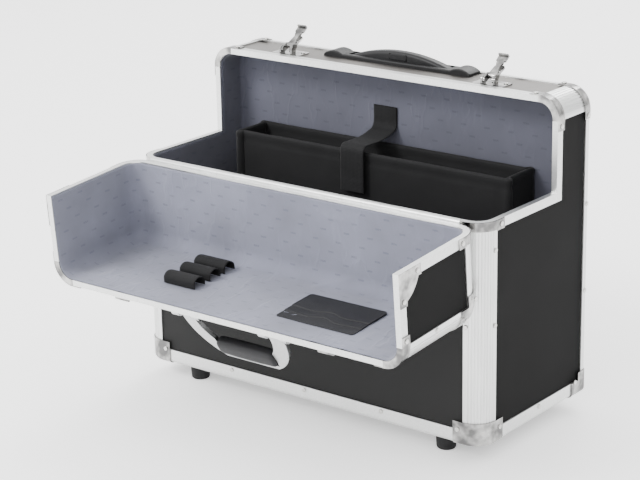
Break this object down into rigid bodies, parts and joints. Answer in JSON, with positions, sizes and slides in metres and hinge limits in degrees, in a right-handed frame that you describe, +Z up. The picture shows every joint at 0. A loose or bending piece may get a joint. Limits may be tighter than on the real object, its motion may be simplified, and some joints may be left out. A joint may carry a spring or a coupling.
{
  "type": "aluminum attache case",
  "caption": "Aluminium-framed pilot-style attache case with a wide folding lid tray, carry handle, draw latches, lined inside, laptop pocket, trolley handle and wheels.",
  "frame": {"origin": "on the floor under the middle of the open case's box: feet and wheels stand on z = 0", "axes": "+X to the case's right seen from the front, +Y to the rear, +Z up; the lid hangs open on the -Y side"},
  "size_m": [0.4798, 0.3702, 0.3986],
  "materials": {
    "black_laminate": "textured",
    "brushed_plate": "brushed",
    "satin_aluminium": "satin",
    "chrome_castings": "polished",
    "handle_metal": "satin",
    "steel_fixings": "polished",
    "black_rubber": "matte",
    "black_plastic": "satin",
    "lining_fabric": "matte",
    "lined_board": "matte",
    "black_fabric": "matte",
    "black_webbing": "matte"
  },
  "bodies": {
    "case": {"bottom_panel": "black_laminate", "front_panel": "black_laminate", "rear_panel": "black_laminate", "side_panel_left": "black_laminate", "side_panel_right": "black_laminate", "top_plate": "brushed_plate", "front_corner_profile_left": "satin_aluminium", "front_corner_profile_right": "satin_aluminium", "rear_edge_profiles": "satin_aluminium", "bottom_edge_profiles": "satin_aluminium", "top_corner_profiles": "satin_aluminium", "front_rim": "satin_aluminium", "step_rims": "satin_aluminium", "rim_corners": "chrome_castings", "bottom_front_corners": "chrome_castings", "bottom_rear_corners": "chrome_castings", "top_rear_corners": "chrome_castings", "hinge_body_leaf": "satin_aluminium", "hinge_pin": "steel_fixings", "rubber_feet": "black_rubber", "wheel_housings": "black_plastic", "wheel_axles": "steel_fixings", "body_lining": "lining_fabric", "rear_divider": "lined_board", "floor_board": "lined_board", "laptop_pocket": "black_fabric", "laptop_strap": "black_webbing", "trolley_channels": "satin_aluminium", "trolley_bezel": "black_plastic", "latch_bases": "chrome_castings", "body_rivets": "steel_fixings"},
    "lid": {"lid_top_panel": "black_laminate", "lid_front_panel": "black_laminate", "lid_side_panel_left": "black_laminate", "lid_side_panel_right": "black_laminate", "lid_front_edge_profile": "satin_aluminium", "lid_corner_profiles": "satin_aluminium", "lid_side_profiles": "satin_aluminium", "lid_rims": "satin_aluminium", "lid_rim_corners": "chrome_castings", "lid_cast_corners": "chrome_castings", "lid_lining": "lining_fabric", "hinge_lid_leaf": "satin_aluminium", "pen_loops": "black_webbing", "card_pocket": "black_fabric", "latch_strikes": "chrome_castings", "handle_brackets": "handle_metal", "lid_rivets": "steel_fixings"},
    "carry_handle": {"handle_frame": "handle_metal", "handle_grip": "black_rubber"},
    "lever_left": {"latch_lever_left": "chrome_castings"},
    "lever_right": {"latch_lever_right": "chrome_castings"},
    "claw_left": {"latch_claw_left": "chrome_castings"},
    "claw_right": {"latch_claw_right": "chrome_castings"},
    "trolley_stage": {"trolley_mid_tubes": "satin_aluminium"},
    "trolley_handle": {"trolley_inner_tubes": "satin_aluminium", "trolley_grip": "black_plastic"},
    "release_button": {"trolley_button": "black_plastic"},
    "wheel_left": {"wheel_left": "black_rubber"},
    "wheel_right": {"wheel_right": "black_rubber"}
  },
  "joints": [
    {"name": "lid_hinge", "type": "hinge", "parent": "case", "child": "lid", "pos_m": [0, -0.04143, 0.2672], "axis": [-1, 0, 0], "range_deg": [0, 184.5]},
    {"name": "carry_handle_hinge", "type": "hinge", "parent": "lid", "child": "carry_handle", "pos_m": [0, -0.15797, 0.14839], "axis": [1, 0, 0], "range_deg": [-65, 59]},
    {"name": "latch_lever_left", "type": "hinge", "parent": "case", "child": "lever_left", "pos_m": [-0.14, 0.12007, 0.3745], "axis": [-1, 0, 0], "range_deg": [0, 26]},
    {"name": "latch_claw_left", "type": "hinge", "parent": "lever_left", "child": "claw_left", "pos_m": [-0.14, 0.12636, 0.37757], "axis": [1, 0, 0], "range_deg": [0, 168]},
    {"name": "latch_lever_right", "type": "hinge", "parent": "case", "child": "lever_right", "pos_m": [0.14, 0.12007, 0.3745], "axis": [-1, 0, 0], "range_deg": [0, 26]},
    {"name": "latch_claw_right", "type": "hinge", "parent": "lever_right", "child": "claw_right", "pos_m": [0.14, 0.12636, 0.37757], "axis": [1, 0, 0], "range_deg": [0, 168]},
    {"name": "trolley_stage_slide", "type": "slide", "parent": "case", "child": "trolley_stage", "axis": [0, 0, 1], "range_m": [0, 0.27]},
    {"name": "trolley_handle_slide", "type": "slide", "parent": "trolley_stage", "child": "trolley_handle", "axis": [0, 0, 1], "range_m": [0, 0.27]},
    {"name": "release_button_press", "type": "slide", "parent": "trolley_handle", "child": "release_button", "axis": [0, 1, 0], "range_m": [0, 0.0025], "stiffness_N_per_m": 400, "springref_m": -0.002},
    {"name": "wheel_spin_left", "type": "hinge", "parent": "case", "child": "wheel_left", "pos_m": [-0.1775, 0.16607, 0.019], "axis": [1, 0, 0], "continuous": true},
    {"name": "wheel_spin_right", "type": "hinge", "parent": "case", "child": "wheel_right", "pos_m": [0.1775, 0.16607, 0.019], "axis": [1, 0, 0], "continuous": true}
  ],
  "couplings": [
    {"joint": "latch_claw_left", "follows": "latch_lever_left", "ratio": 6.46},
    {"joint": "latch_claw_right", "follows": "latch_lever_right", "ratio": 6.46}
  ]
}
